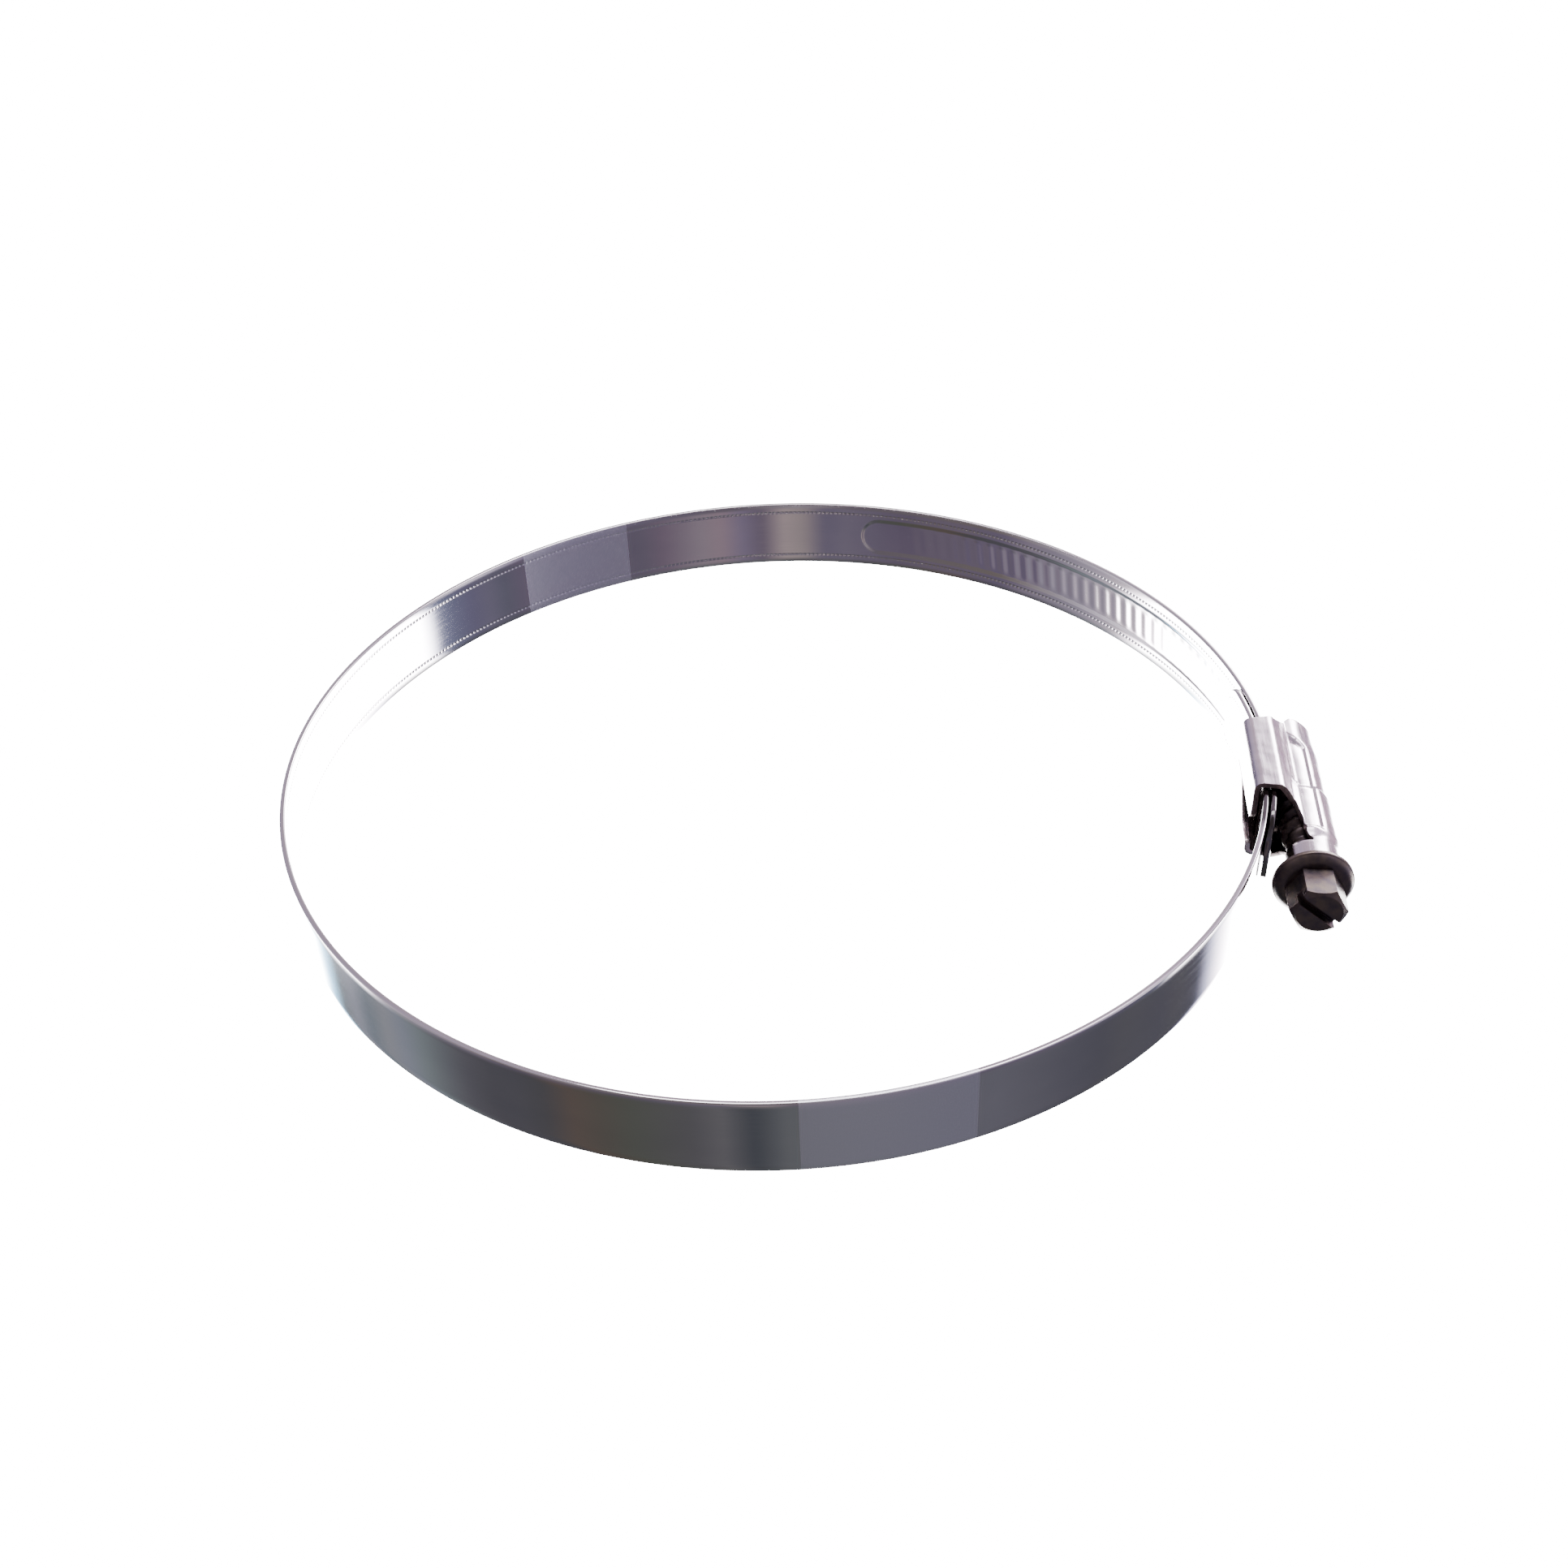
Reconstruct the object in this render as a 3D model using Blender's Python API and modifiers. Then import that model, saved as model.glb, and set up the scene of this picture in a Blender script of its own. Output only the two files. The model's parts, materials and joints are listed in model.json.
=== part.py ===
"""Worm-drive hose clamp: a stainless strip with a pressed thread, a pressed housing and a worm screw.

Frame: metres, +Z up, ring axis on Z, band centred on Z = 0, housing on +X, screw head towards -Y.
The strip is one piece of steel. It flexes as it tightens, so it is built as arcs with hinges between them.
"""
import math

import bmesh
import bpy
from mathutils import Matrix, Vector

MM = 0.001

# Band strip
BORE_RADIUS = 72.0 * MM  # inside of the ring
BAND_WIDTH = 12.0 * MM
BAND_THICKNESS = 0.8 * MM
LAYER_GAP = 0.3 * MM  # between the fixed layer and the threaded layer, in the housing
LINK_GAP = 0.3 * MM  # cut between two arcs of the strip
CORNER_RADIUS = 3.0 * MM  # at the two ends of the strip
PLAIN_STEP = math.radians(3.0)  # column spacing on plain arcs
COLUMN_SPACE = 0.004  # radians kept between plain columns and the columns of a ridge or a corner

# Pressed thread in the strip
THREAD_PITCH = 2.5 * MM
THREAD_HEIGHT = 0.85 * MM  # ridge top over the strip's outer face
THREAD_WIDTH = 6.0 * MM  # across the strip
THREAD_FLANK = 0.7 * MM  # slope at each end of a ridge
TROUGH_HEIGHT = 0.15 * MM  # plain lead-in of the pressed panel
TROUGH_START = math.radians(82.0)
RIDGES_START = math.radians(72.5)
PLAIN_TAIL = 4.0 * MM  # without thread, at the free end

# Hinges that stand for the strip's flexing, as azimuths round the ring, from the thread back to the fixed end
FLEX_AZIMUTHS = [math.radians(a) for a in (58, 90, 125, 165, 205, 250, 295, 338)]
LAYER_STEP_END = math.radians(165.0)  # the ring has come in by one layer here

# Places along the screw, measured from the housing's middle towards the head
TONGUE_END = -19.0 * MM
DOME_REAR = -12.3 * MM
HOOK_REAR = -8.4 * MM
FIXED_LAYER_START = 3.4 * MM
LINK_END = 5.0 * MM
HOOK_FRONT = 7.8 * MM
TAIL_END = 15.0 * MM
COLLAR_REAR = 16.4 * MM
FLANGE_REAR = 20.4 * MM

# Worm screw
SCREW_RADIUS = 3.15 * MM  # over the thread
SCREW_ROOT_RADIUS = 2.25 * MM
SCREW_SHOULDER_RADIUS = 3.05 * MM
SCREW_MESH_DEPTH = 0.3 * MM  # thread reaches this far below the band's ridge tops
SCREW_REAR = -11.2 * MM
SCREW_TIP = 0.5 * MM  # cone at the rear end
SCREW_TIP_RADIUS = 1.6 * MM
SCREW_CREST = 0.1  # half of the thread's crest, as a share of the pitch
SCREW_FLANK = 0.2  # each sloping flank, as a share of the pitch
SCREW_THREAD_END = 14.4 * MM
SHOULDER_CONE_START = 14.7 * MM
SHOULDER_START = 15.1 * MM
FLANGE_RADIUS = 5.6 * MM
FLANGE_RIM = 0.7 * MM
FLANGE_DOME = 0.7 * MM
FLANGE_DOME_RADIUS = 4.4 * MM  # where the dome meets the hexagon's foot
FLANGE_DOME_KNEE = (0.42 * MM, 5.0 * MM)  # rise over the rim, radius
HEX_FLATS = 7.0 * MM
HEX_HEIGHT = 5.2 * MM
HEX_CHAMFER = 0.5 * MM
SLOT_WIDTH = 1.2 * MM
SLOT_DEPTH = 1.7 * MM
SLOT_ANGLE = math.radians(39.0)
SCREW_SEGMENTS = 20

# Pressed housing
SHEET = 0.8 * MM
CLEARANCE = 0.3 * MM
DOME_CLEARANCE = 0.2 * MM
FLAP_GAP = 0.3 * MM  # where the two folded flaps meet under the band
BEND_RADIUS = 1.0 * MM
SKIRT_CUT = 3.4 * MM  # height over the fixed layer to which the nose is cut back
SKIRT_RISE = 0.8 * MM  # the cut climbs by this much towards the collar
NOSE_CURVE = [(0.9 * MM, 0.4 * MM), (2.0 * MM, 0.0)]  # rounded rear of the cut: ahead of the hook, below it
REAR_CURVE = (1.0 * MM, 2.2 * MM)  # from the hook's rear edge: back, up
COLLAR_OPENING = math.radians(50.0)  # half of the gap left in the collar, on the band's side

# Derived places
FIXED_OUTER = BORE_RADIUS + BAND_THICKNESS
THREADED_INNER = FIXED_OUTER + LAYER_GAP
THREADED_OUTER = THREADED_INNER + BAND_THICKNESS
RIDGE_RADIUS = THREADED_OUTER + THREAD_HEIGHT
SCREW_AXIS_X = RIDGE_RADIUS - SCREW_MESH_DEPTH + SCREW_RADIUS
MESH_RADIUS = SCREW_AXIS_X - SCREW_RADIUS + SCREW_MESH_DEPTH / 2
RIDGE_SLANT = THREAD_PITCH / (2 * math.pi * (SCREW_RADIUS - SCREW_MESH_DEPTH / 2))
DOME_RADIUS = SCREW_RADIUS + DOME_CLEARANCE + SHEET / 2  # middle of the sheet

STEEL_BAND = ("polished_stainless_band", (0.290, 0.275, 0.300), 0.24)
STEEL_HOUSING = ("pressed_stainless_housing", (0.620, 0.600, 0.610), 0.20)
STEEL_SCREW = ("plated_steel_screw", (0.250, 0.230, 0.225), 0.32)


def clear_scene():
    for obj in list(bpy.data.objects):
        bpy.data.objects.remove(obj, do_unlink=True)


def make_material(name, colour, roughness):
    material = bpy.data.materials.get(name)
    if material is None:
        material = bpy.data.materials.new(name)
        material.use_nodes = True
        shader = material.node_tree.nodes["Principled BSDF"]
        shader.inputs["Base Color"].default_value = (*colour, 1.0)
        shader.inputs["Roughness"].default_value = roughness
        shader.inputs["Metallic"].default_value = 1.0
    return material


def add_object(name, bm, collection, finish=None, origin=(0.0, 0.0, 0.0), parent=None):
    """Writes bm, which is in world coordinates, to an object whose origin is at the given point."""
    bmesh.ops.transform(bm, matrix=Matrix.Translation(-Vector(origin)), verts=bm.verts)
    bmesh.ops.recalc_face_normals(bm, faces=bm.faces)
    mesh = bpy.data.meshes.new(name)
    bm.to_mesh(mesh)
    bm.free()
    obj = bpy.data.objects.new(name, mesh)
    collection.objects.link(obj)
    obj.location = Vector(origin)
    if parent is not None:
        obj.parent = parent
        obj.location = Vector(origin) - parent.matrix_world.translation
    if finish is not None:
        mesh.materials.append(make_material(*finish))
        mesh.shade_smooth()
        mesh.set_sharp_from_angle(angle=math.radians(30))
    else:
        obj.hide_render = True
        obj.display_type = "WIRE"
    bpy.context.view_layer.update()
    return obj


def smooth_step(value):
    value = min(max(value, 0.0), 1.0)
    return value * value * (3 - 2 * value)


def inner_radius(azimuth):
    """Inner radius of the strip: the threaded layer lies over the fixed one, and the ring comes in after it."""
    share = smooth_step((azimuth - FLEX_AZIMUTHS[0]) / (LAYER_STEP_END - FLEX_AZIMUTHS[0]))
    return THREADED_INNER + (BORE_RADIUS - THREADED_INNER) * share


def ring_point(azimuth, radius, z=0.0):
    return Vector((radius * math.cos(azimuth), radius * math.sin(azimuth), z))


def azimuth_at(place, radius):
    """Azimuth of a place along the screw, which is measured towards -Y."""
    return -math.asin(place / radius)


def ridge_height(azimuth, tail_azimuth):
    """Height of the pressed thread, in four columns a pitch: two in the groove, two on the ridge."""
    if azimuth > TROUGH_START or azimuth < tail_azimuth:
        return 0.0
    if azimuth > RIDGES_START:
        return TROUGH_HEIGHT
    turn = (azimuth * MESH_RADIUS / THREAD_PITCH + 0.25) % 1.0
    return THREAD_HEIGHT if 0.25 < turn < 0.75 else 0.0


def thread_columns(start, end):
    """Azimuths between start and end at the eighths of a pitch where a ridge or groove begins and ends."""
    pitch_angle = THREAD_PITCH / MESH_RADIUS
    first = math.ceil((start / pitch_angle + 0.125) * 4)
    last = math.floor((end / pitch_angle + 0.125) * 4)
    return [(index / 4 - 0.125) * pitch_angle for index in range(first, last + 1)]


def plain_columns(start, end):
    count = max(1, round((end - start) / PLAIN_STEP))
    return [start + (end - start) * index / count for index in range(count + 1)]


def build_strip(start, end, rounded_start=False, rounded_end=False, threaded=False, radius_at=inner_radius):
    """One arc of the strip, from azimuth start to end, as a bent grid extruded by the strip's thickness."""
    tail_azimuth = start + PLAIN_TAIL / MESH_RADIUS if rounded_start else -math.pi
    columns = plain_columns(start, end)
    if threaded:
        stop = min(end, RIDGES_START)
        ridges = thread_columns(max(start, tail_azimuth), stop)
        low, high = ridges[0] - COLUMN_SPACE, ridges[-1] + COLUMN_SPACE
        columns = [a for a in columns if a < low or a > high] + ridges
    corner = [CORNER_RADIUS * (1 - math.cos(math.radians(step))) for step in (0, 30, 60, 90)]
    if rounded_start:
        columns = [a for a in columns if a > start + CORNER_RADIUS / BORE_RADIUS + COLUMN_SPACE]
        columns += [start + depth / BORE_RADIUS for depth in corner]
    if rounded_end:
        columns = [a for a in columns if a < end - CORNER_RADIUS / BORE_RADIUS - COLUMN_SPACE]
        columns += [end - depth / BORE_RADIUS for depth in corner]
    columns = sorted(columns)

    half = BAND_WIDTH / 2
    edge = THREAD_WIDTH / 2
    rows = [-half, -edge, THREAD_FLANK - edge, edge - THREAD_FLANK, edge, half] if threaded else [-half, half]

    def half_width(azimuth):
        depth = CORNER_RADIUS
        if rounded_start:
            depth = min(depth, (azimuth - start) * BORE_RADIUS)
        if rounded_end:
            depth = min(depth, (end - azimuth) * BORE_RADIUS)
        reach = CORNER_RADIUS - depth
        return half - CORNER_RADIUS + math.sqrt(max(CORNER_RADIUS**2 - reach**2, 0.0))

    bm = bmesh.new()
    bmesh.ops.create_grid(bm, x_segments=len(columns) - 1, y_segments=len(rows) - 1, size=0.5)
    outer = {}
    for vert in bm.verts:
        column = round((vert.co.x + 0.5) * (len(columns) - 1))
        row = round((vert.co.y + 0.5) * (len(rows) - 1))
        azimuth = columns[column]
        z = rows[row]
        if abs(z) >= half:
            z = math.copysign(half_width(azimuth), z)
        inside_thread = threaded and 0 < row < len(rows) - 1
        pressed = threaded and 1 < row < len(rows) - 2
        lift = ridge_height(azimuth, tail_azimuth) if pressed else 0.0
        slant = z * RIDGE_SLANT / MESH_RADIUS if inside_thread and start < azimuth < end else 0.0
        radius = radius_at(azimuth) + lift
        vert.co = ring_point(azimuth + slant, radius, z)
        outer[vert] = ring_point(azimuth + slant, radius + BAND_THICKNESS, z)
    originals = list(bm.verts)
    extruded = bmesh.ops.extrude_face_region(bm, geom=list(bm.faces), use_keep_orig=True)
    lifted = [item for item in extruded["geom"] if isinstance(item, bmesh.types.BMVert)]
    targets = {tuple(round(c, 9) for c in vert.co): outer[vert] for vert in originals}
    for vert in lifted:
        vert.co = targets[tuple(round(c, 9) for c in vert.co)]
    return bm


def link_spans():
    """Start and end azimuth of each arc between hinges; the last one runs into the housing's mouth."""
    half_gap = LINK_GAP / 2 / BORE_RADIUS
    last_end = 2 * math.pi + azimuth_at(LINK_END, BORE_RADIUS)
    starts = [azimuth + half_gap for azimuth in FLEX_AZIMUTHS]
    ends = [azimuth - half_gap for azimuth in FLEX_AZIMUTHS[1:]] + [last_end]
    return list(zip(starts, ends))


def build_band(collection):
    """The fixed end held in the housing, the threaded free end, and the arcs that join them."""
    tongue = build_strip(
        azimuth_at(FIXED_LAYER_START, BORE_RADIUS),
        azimuth_at(TONGUE_END, BORE_RADIUS),
        rounded_end=True,
        radius_at=lambda azimuth: BORE_RADIUS,
    )
    add_object("band_fixed_end", tongue, collection, STEEL_BAND)
    threaded = build_strip(
        azimuth_at(TAIL_END, THREADED_INNER),
        FLEX_AZIMUTHS[0] - LINK_GAP / 2 / BORE_RADIUS,
        rounded_start=True,
        threaded=True,
        radius_at=lambda azimuth: THREADED_INNER,
    )
    previous = add_object("band_threaded_end", threaded, collection, STEEL_BAND)
    for number, (start, end) in enumerate(link_spans(), 1):
        hinge = FLEX_AZIMUTHS[number - 1]
        axis_point = ring_point(hinge, inner_radius(hinge) + BAND_THICKNESS / 2)
        arc = build_strip(start, end, threaded=number == 1)
        name = f"band_arc_{number}"
        previous = add_object(name, arc, collection, STEEL_BAND, origin=axis_point, parent=previous)


def worm_radius(y, angle):
    """Radius of the thread at a place along the screw: flat root, sloping flanks and a flat crest."""
    turn = (y / THREAD_PITCH - angle / (2 * math.pi)) % 1.0
    distance = min(turn, 1.0 - turn)
    share = min(max((SCREW_CREST + SCREW_FLANK - distance) / SCREW_FLANK, 0.0), 1.0)
    front = smooth_step((y + SCREW_THREAD_END) / THREAD_PITCH)
    rear = smooth_step((-SCREW_REAR - y) / THREAD_PITCH)
    return SCREW_ROOT_RADIUS + (SCREW_RADIUS - SCREW_ROOT_RADIUS) * share * min(front, rear)


def screw_point(y, radius, angle):
    """angle turns about +Y, from +Z towards +X."""
    return Vector((SCREW_AXIS_X + radius * math.sin(angle), y, radius * math.cos(angle)))


def build_screw_shank():
    """Threaded shank, shoulder and domed flange, turned about the screw's axis."""
    row_step = THREAD_PITCH / 5
    rear = -SCREW_REAR
    count = int((rear + SCREW_THREAD_END) / row_step)
    rows = [(rear + SCREW_TIP, SCREW_TIP_RADIUS), (rear, None)]
    rows += [(rear - row_step * index, None) for index in range(1, count + 1)]
    flange = -FLANGE_REAR
    rows += [(-SHOULDER_CONE_START, SCREW_ROOT_RADIUS), (-SHOULDER_START, SCREW_SHOULDER_RADIUS)]
    rows += [(flange, SCREW_SHOULDER_RADIUS), (flange, FLANGE_RADIUS), (flange - FLANGE_RIM, FLANGE_RADIUS)]
    rise, radius = FLANGE_DOME_KNEE
    rows += [(flange - FLANGE_RIM - rise, radius), (flange - FLANGE_RIM - FLANGE_DOME, FLANGE_DOME_RADIUS)]
    bm = bmesh.new()
    bmesh.ops.create_grid(bm, x_segments=SCREW_SEGMENTS, y_segments=len(rows) - 1, size=0.5)
    for vert in bm.verts:
        step = round((vert.co.x + 0.5) * SCREW_SEGMENTS) % SCREW_SEGMENTS
        y, radius = rows[round((vert.co.y + 0.5) * (len(rows) - 1))]
        angle = 2 * math.pi * step / SCREW_SEGMENTS
        vert.co = screw_point(y, worm_radius(y, angle) if radius is None else radius, angle)
    bmesh.ops.remove_doubles(bm, verts=bm.verts, dist=1e-7)
    bmesh.ops.holes_fill(bm, edges=[edge for edge in bm.edges if edge.is_boundary], sides=0)
    return bm


def add_boolean(obj, cutter, operation):
    modifier = obj.modifiers.new(f"{operation.lower()}_{cutter.name}", "BOOLEAN")
    modifier.operation = operation
    modifier.object = cutter
    modifier.solver = "EXACT"


def hex_prism(start, height):
    """The hexagon on the screw's axis with flats above and below, its outer end chamfered."""
    bm = bmesh.new()
    corner_radius = HEX_FLATS / math.sqrt(3)
    bmesh.ops.create_cone(
        bm, cap_ends=True, segments=6, radius1=corner_radius, radius2=corner_radius, depth=height
    )
    rim = [edge for edge in bm.edges if all(vert.co.z > 0 for vert in edge.verts)]
    bmesh.ops.bevel(
        bm,
        geom=rim,
        offset=HEX_CHAMFER,
        offset_type="OFFSET",
        segments=1,
        profile=0.5,
        affect="EDGES",
        material=-1,
    )
    place = Matrix.Translation((SCREW_AXIS_X, start - height / 2, 0.0))
    turn = Matrix.Rotation(math.radians(90), 4, "X") @ Matrix.Rotation(math.radians(30), 4, "Z")
    corner_turn = Matrix.Rotation(math.radians(30), 4, "Y")
    bmesh.ops.transform(bm, matrix=place @ corner_turn @ turn, verts=bm.verts)
    return bm


def build_screw(collection, cutters):
    origin = (SCREW_AXIS_X, 0.0, 0.0)
    screw = add_object("worm_screw", build_screw_shank(), collection, STEEL_SCREW, origin=origin)
    head_start = -FLANGE_REAR - FLANGE_RIM
    head_end = head_start - FLANGE_DOME - HEX_HEIGHT
    hexagon = add_object("hex_head_tool", hex_prism(head_start, head_start - head_end), cutters)
    add_boolean(screw, hexagon, "UNION")
    slot = bmesh.new()
    bmesh.ops.create_cube(slot, size=1.0)
    bmesh.ops.scale(slot, vec=(HEX_FLATS * 2, SLOT_DEPTH * 2, SLOT_WIDTH), verts=slot.verts)
    turn = Matrix.Translation((SCREW_AXIS_X, head_end, 0.0)) @ Matrix.Rotation(SLOT_ANGLE, 4, "Y")
    bmesh.ops.transform(slot, matrix=turn, verts=slot.verts)
    add_boolean(screw, add_object("slot_tool", slot, cutters), "DIFFERENCE")


def arc_points(centre_x, centre_z, radius, first, last, steps):
    """Points in the XZ plane; angles are in degrees from +X towards +Z."""
    points = []
    for index in range(steps + 1):
        angle = math.radians(first + (last - first) * index / steps)
        points.append((centre_x + radius * math.cos(angle), centre_z + radius * math.sin(angle)))
    return points


def extruded_sheet(points, start, end):
    """An open sheet: a line of XZ points drawn out along Y."""
    bm = bmesh.new()
    verts = [bm.verts.new((x, -start, z)) for x, z in points]
    edges = [bm.edges.new(pair) for pair in zip(verts, verts[1:])]
    drawn = bmesh.ops.extrude_edge_only(bm, edges=edges)
    moved = [item for item in drawn["geom"] if isinstance(item, bmesh.types.BMVert)]
    bmesh.ops.translate(bm, vec=(0.0, start - end, 0.0), verts=moved)
    return bm


def add_sheet_thickness(obj):
    solidify = obj.modifiers.new("sheet", "SOLIDIFY")
    solidify.thickness = SHEET
    solidify.offset = 0.0
    solidify.use_even_offset = True


def housing_profile():
    """Half of the housing's section, from the flap under the band, round its edge and over the screw."""
    sag = BORE_RADIUS - math.sqrt(BORE_RADIUS**2 - HOOK_FRONT**2)
    flap_x = BORE_RADIUS - CLEARANCE - DOME_CLEARANCE - sag - SHEET / 2
    top_z = BAND_WIDTH / 2 + CLEARANCE + SHEET / 2
    ledge_x = THREADED_OUTER + CLEARANCE + SHEET / 2
    bend = BEND_RADIUS
    points = [(flap_x, FLAP_GAP / 2)]
    points += arc_points(flap_x + bend, top_z - bend, bend, 180, 90, 4)
    points += arc_points(ledge_x - bend, top_z - bend, bend, 90, 0, 4)
    points += [(ledge_x, DOME_RADIUS + SHEET / 2)]
    points += arc_points(SCREW_AXIS_X, 0.0, DOME_RADIUS, 100, 0, 10)
    return points


def side_prism(outline):
    """A cutter drawn out across the band: outline is a loop of (place along the screw, x)."""
    bm = bmesh.new()
    depth = BAND_WIDTH
    face = bm.faces.new([bm.verts.new((x, -place, -depth)) for place, x in outline])
    drawn = bmesh.ops.extrude_face_region(bm, geom=[face])
    moved = [item for item in drawn["geom"] if isinstance(item, bmesh.types.BMVert)]
    bmesh.ops.translate(bm, vec=(0.0, 0.0, 2 * depth), verts=moved)
    return bm


def build_housing(collection, cutters):
    """The pressed sheet over the screw, cut back in front of the hooks, with a collar round the shoulder."""
    collar_front = FLANGE_REAR - CLEARANCE
    blank = extruded_sheet(housing_profile(), DOME_REAR, collar_front)
    housing = add_object("housing", blank, collection, STEEL_HOUSING)
    mirror = housing.modifiers.new("other_half", "MIRROR")
    mirror.use_axis = (False, False, True)
    mirror.merge_threshold = 0.0001
    add_sheet_thickness(housing)

    cut_x = FIXED_OUTER + SKIRT_CUT
    far_x = BORE_RADIUS - BAND_WIDTH
    beyond = BAND_WIDTH / 2
    nose = [(HOOK_FRONT, far_x), (HOOK_FRONT, FIXED_OUTER)]
    nose += [(HOOK_FRONT + along, cut_x - drop) for along, drop in NOSE_CURVE]
    nose += [(COLLAR_REAR, cut_x + SKIRT_RISE)]
    nose += [(collar_front + beyond, cut_x + SKIRT_RISE), (collar_front + beyond, far_x)]
    add_boolean(housing, add_object("nose_tool", side_prism(nose), cutters), "DIFFERENCE")
    back, up = REAR_CURVE
    rear = [(HOOK_REAR, far_x), (HOOK_REAR, FIXED_OUTER), (HOOK_REAR - back, FIXED_OUTER + up)]
    rear += [(DOME_REAR, SCREW_AXIS_X), (DOME_REAR - beyond, SCREW_AXIS_X), (DOME_REAR - beyond, far_x)]
    add_boolean(housing, add_object("rear_tool", side_prism(rear), cutters), "DIFFERENCE")

    opening = math.degrees(COLLAR_OPENING)
    ring = arc_points(SCREW_AXIS_X, 0.0, DOME_RADIUS, 180 - opening, opening - 180, 20)
    collar = add_object("collar_tool", extruded_sheet(ring, COLLAR_REAR, collar_front), cutters)
    add_sheet_thickness(collar)
    add_boolean(housing, collar, "UNION")


def main():
    clear_scene()
    parts = bpy.data.collections.new("hose_clamp")
    cutters = bpy.data.collections.new("hose_clamp_cutters")
    bpy.context.scene.collection.children.link(parts)
    bpy.context.scene.collection.children.link(cutters)
    build_band(parts)
    build_screw(parts, cutters)
    build_housing(parts, cutters)


main()
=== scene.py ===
import json
import math

import bmesh
import bpy
from mathutils import Matrix, Vector


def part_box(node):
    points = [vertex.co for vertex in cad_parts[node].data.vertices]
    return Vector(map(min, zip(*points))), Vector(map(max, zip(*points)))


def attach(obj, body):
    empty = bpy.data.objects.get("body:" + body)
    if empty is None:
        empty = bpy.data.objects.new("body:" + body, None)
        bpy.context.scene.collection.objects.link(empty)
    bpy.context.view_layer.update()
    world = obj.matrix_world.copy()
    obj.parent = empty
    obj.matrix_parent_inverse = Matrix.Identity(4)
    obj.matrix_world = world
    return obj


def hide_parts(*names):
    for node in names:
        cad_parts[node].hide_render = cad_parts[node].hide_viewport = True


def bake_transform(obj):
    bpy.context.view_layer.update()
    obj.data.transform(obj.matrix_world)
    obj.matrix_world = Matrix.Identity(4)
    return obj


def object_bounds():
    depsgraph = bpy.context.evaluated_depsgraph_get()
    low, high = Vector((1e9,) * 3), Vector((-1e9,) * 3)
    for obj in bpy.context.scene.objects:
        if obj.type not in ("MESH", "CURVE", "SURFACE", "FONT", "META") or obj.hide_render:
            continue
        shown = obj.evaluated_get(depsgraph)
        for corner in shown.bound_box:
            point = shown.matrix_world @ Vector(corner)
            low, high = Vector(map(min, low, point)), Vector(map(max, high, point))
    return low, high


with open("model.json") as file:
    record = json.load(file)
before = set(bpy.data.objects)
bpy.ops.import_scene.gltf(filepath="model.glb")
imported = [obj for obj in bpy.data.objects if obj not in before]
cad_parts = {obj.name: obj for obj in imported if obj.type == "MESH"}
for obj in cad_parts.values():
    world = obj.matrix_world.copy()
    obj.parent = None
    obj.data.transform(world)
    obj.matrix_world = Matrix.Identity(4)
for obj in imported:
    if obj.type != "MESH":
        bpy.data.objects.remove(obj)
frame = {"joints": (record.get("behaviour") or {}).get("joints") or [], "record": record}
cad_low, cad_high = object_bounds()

# ---------------------------------------------------------------------------------------------------
# Fixed end of the band. The band is one strip of spring stainless, 12 mm wide and 0.8 mm thick, rolled
# bright, with its edges rounded so that they don't cut the hose. This end lies against the hose inside
# the housing, which is clinched round it, and its rounded tongue shows behind the housing.
MM = 0.001
seat = next(mount for mount in frame["record"]["mounts"] if mount["name"] == "hose_seat")
hinges = {joint["name"]: joint for joint in frame["joints"]}
BORE = seat["dims"]["r_mm"] * MM
HALF_WIDTH = seat["dims"]["length_mm"] * MM / 2
STRIP = 0.8 * MM
EDGE_ROUND = 0.25 * MM
RIB_HEIGHT = 0.85 * MM  # of the thread pressed in the free end
COLUMN = 0.25 * MM / BORE  # angle between two cross-sections of the strip
PIT_LINE = 4.35 * MM  # the row of small pits that the feed roller leaves near each edge
PIT_WIDTH = 0.40 * MM
PIT_DEPTH = 0.15 * MM
PIT_EVERY = 3  # columns
CORNER = 3.0 * MM  # corner radius at the strip's ends
INNER_LIFT = 0.09  # the ribs of the thread are this shallow on the inner face
flex_angles = []
for number in range(1, 9):
    x, y, z = hinges[f"flex_{number}"]["pos_m"]
    flex_angles.append(math.degrees(math.atan2(y, x)) % 360)
# The threaded layer lies over the fixed one, and its ribs reach furthest out.
THREADED_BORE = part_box("band_threaded_end")[1].x - RIB_HEIGHT - STRIP


def smooth_step(value):
    value = min(max(value, 0.0), 1.0)
    return value * value * (3 - 2 * value)


def layer_bore(angle):
    """Bore of the strip at an angle in degrees: the free end's layer, coming in by one layer after it."""
    share = smooth_step((angle - flex_angles[0]) / (flex_angles[3] - flex_angles[0]))
    return THREADED_BORE + (BORE - THREADED_BORE) * share


def arc(centre_x, centre_y, radius, first, last, steps):
    """Points along an arc, from the first angle to the last, in degrees."""
    turns = [math.radians(first + (last - first) * step / steps) for step in range(steps + 1)]
    return [(centre_x + radius * math.cos(turn), centre_y + radius * math.sin(turn)) for turn in turns]


def section_points(rows):
    """The strip's cross-section as a loop of (height over its bore, z), with rows across both faces."""
    corner = HALF_WIDTH - EDGE_ROUND
    top = arc(STRIP - EDGE_ROUND, corner, EDGE_ROUND, 0, 90, 4)
    top += arc(EDGE_ROUND, corner, EDGE_ROUND, 90, 180, 4)
    bottom = [(height, -z) for height, z in reversed(top)]
    outer = [(STRIP, z) for z in rows]
    inner = [(0.0, z) for z in reversed(rows)]
    return outer + top + inner + bottom


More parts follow.
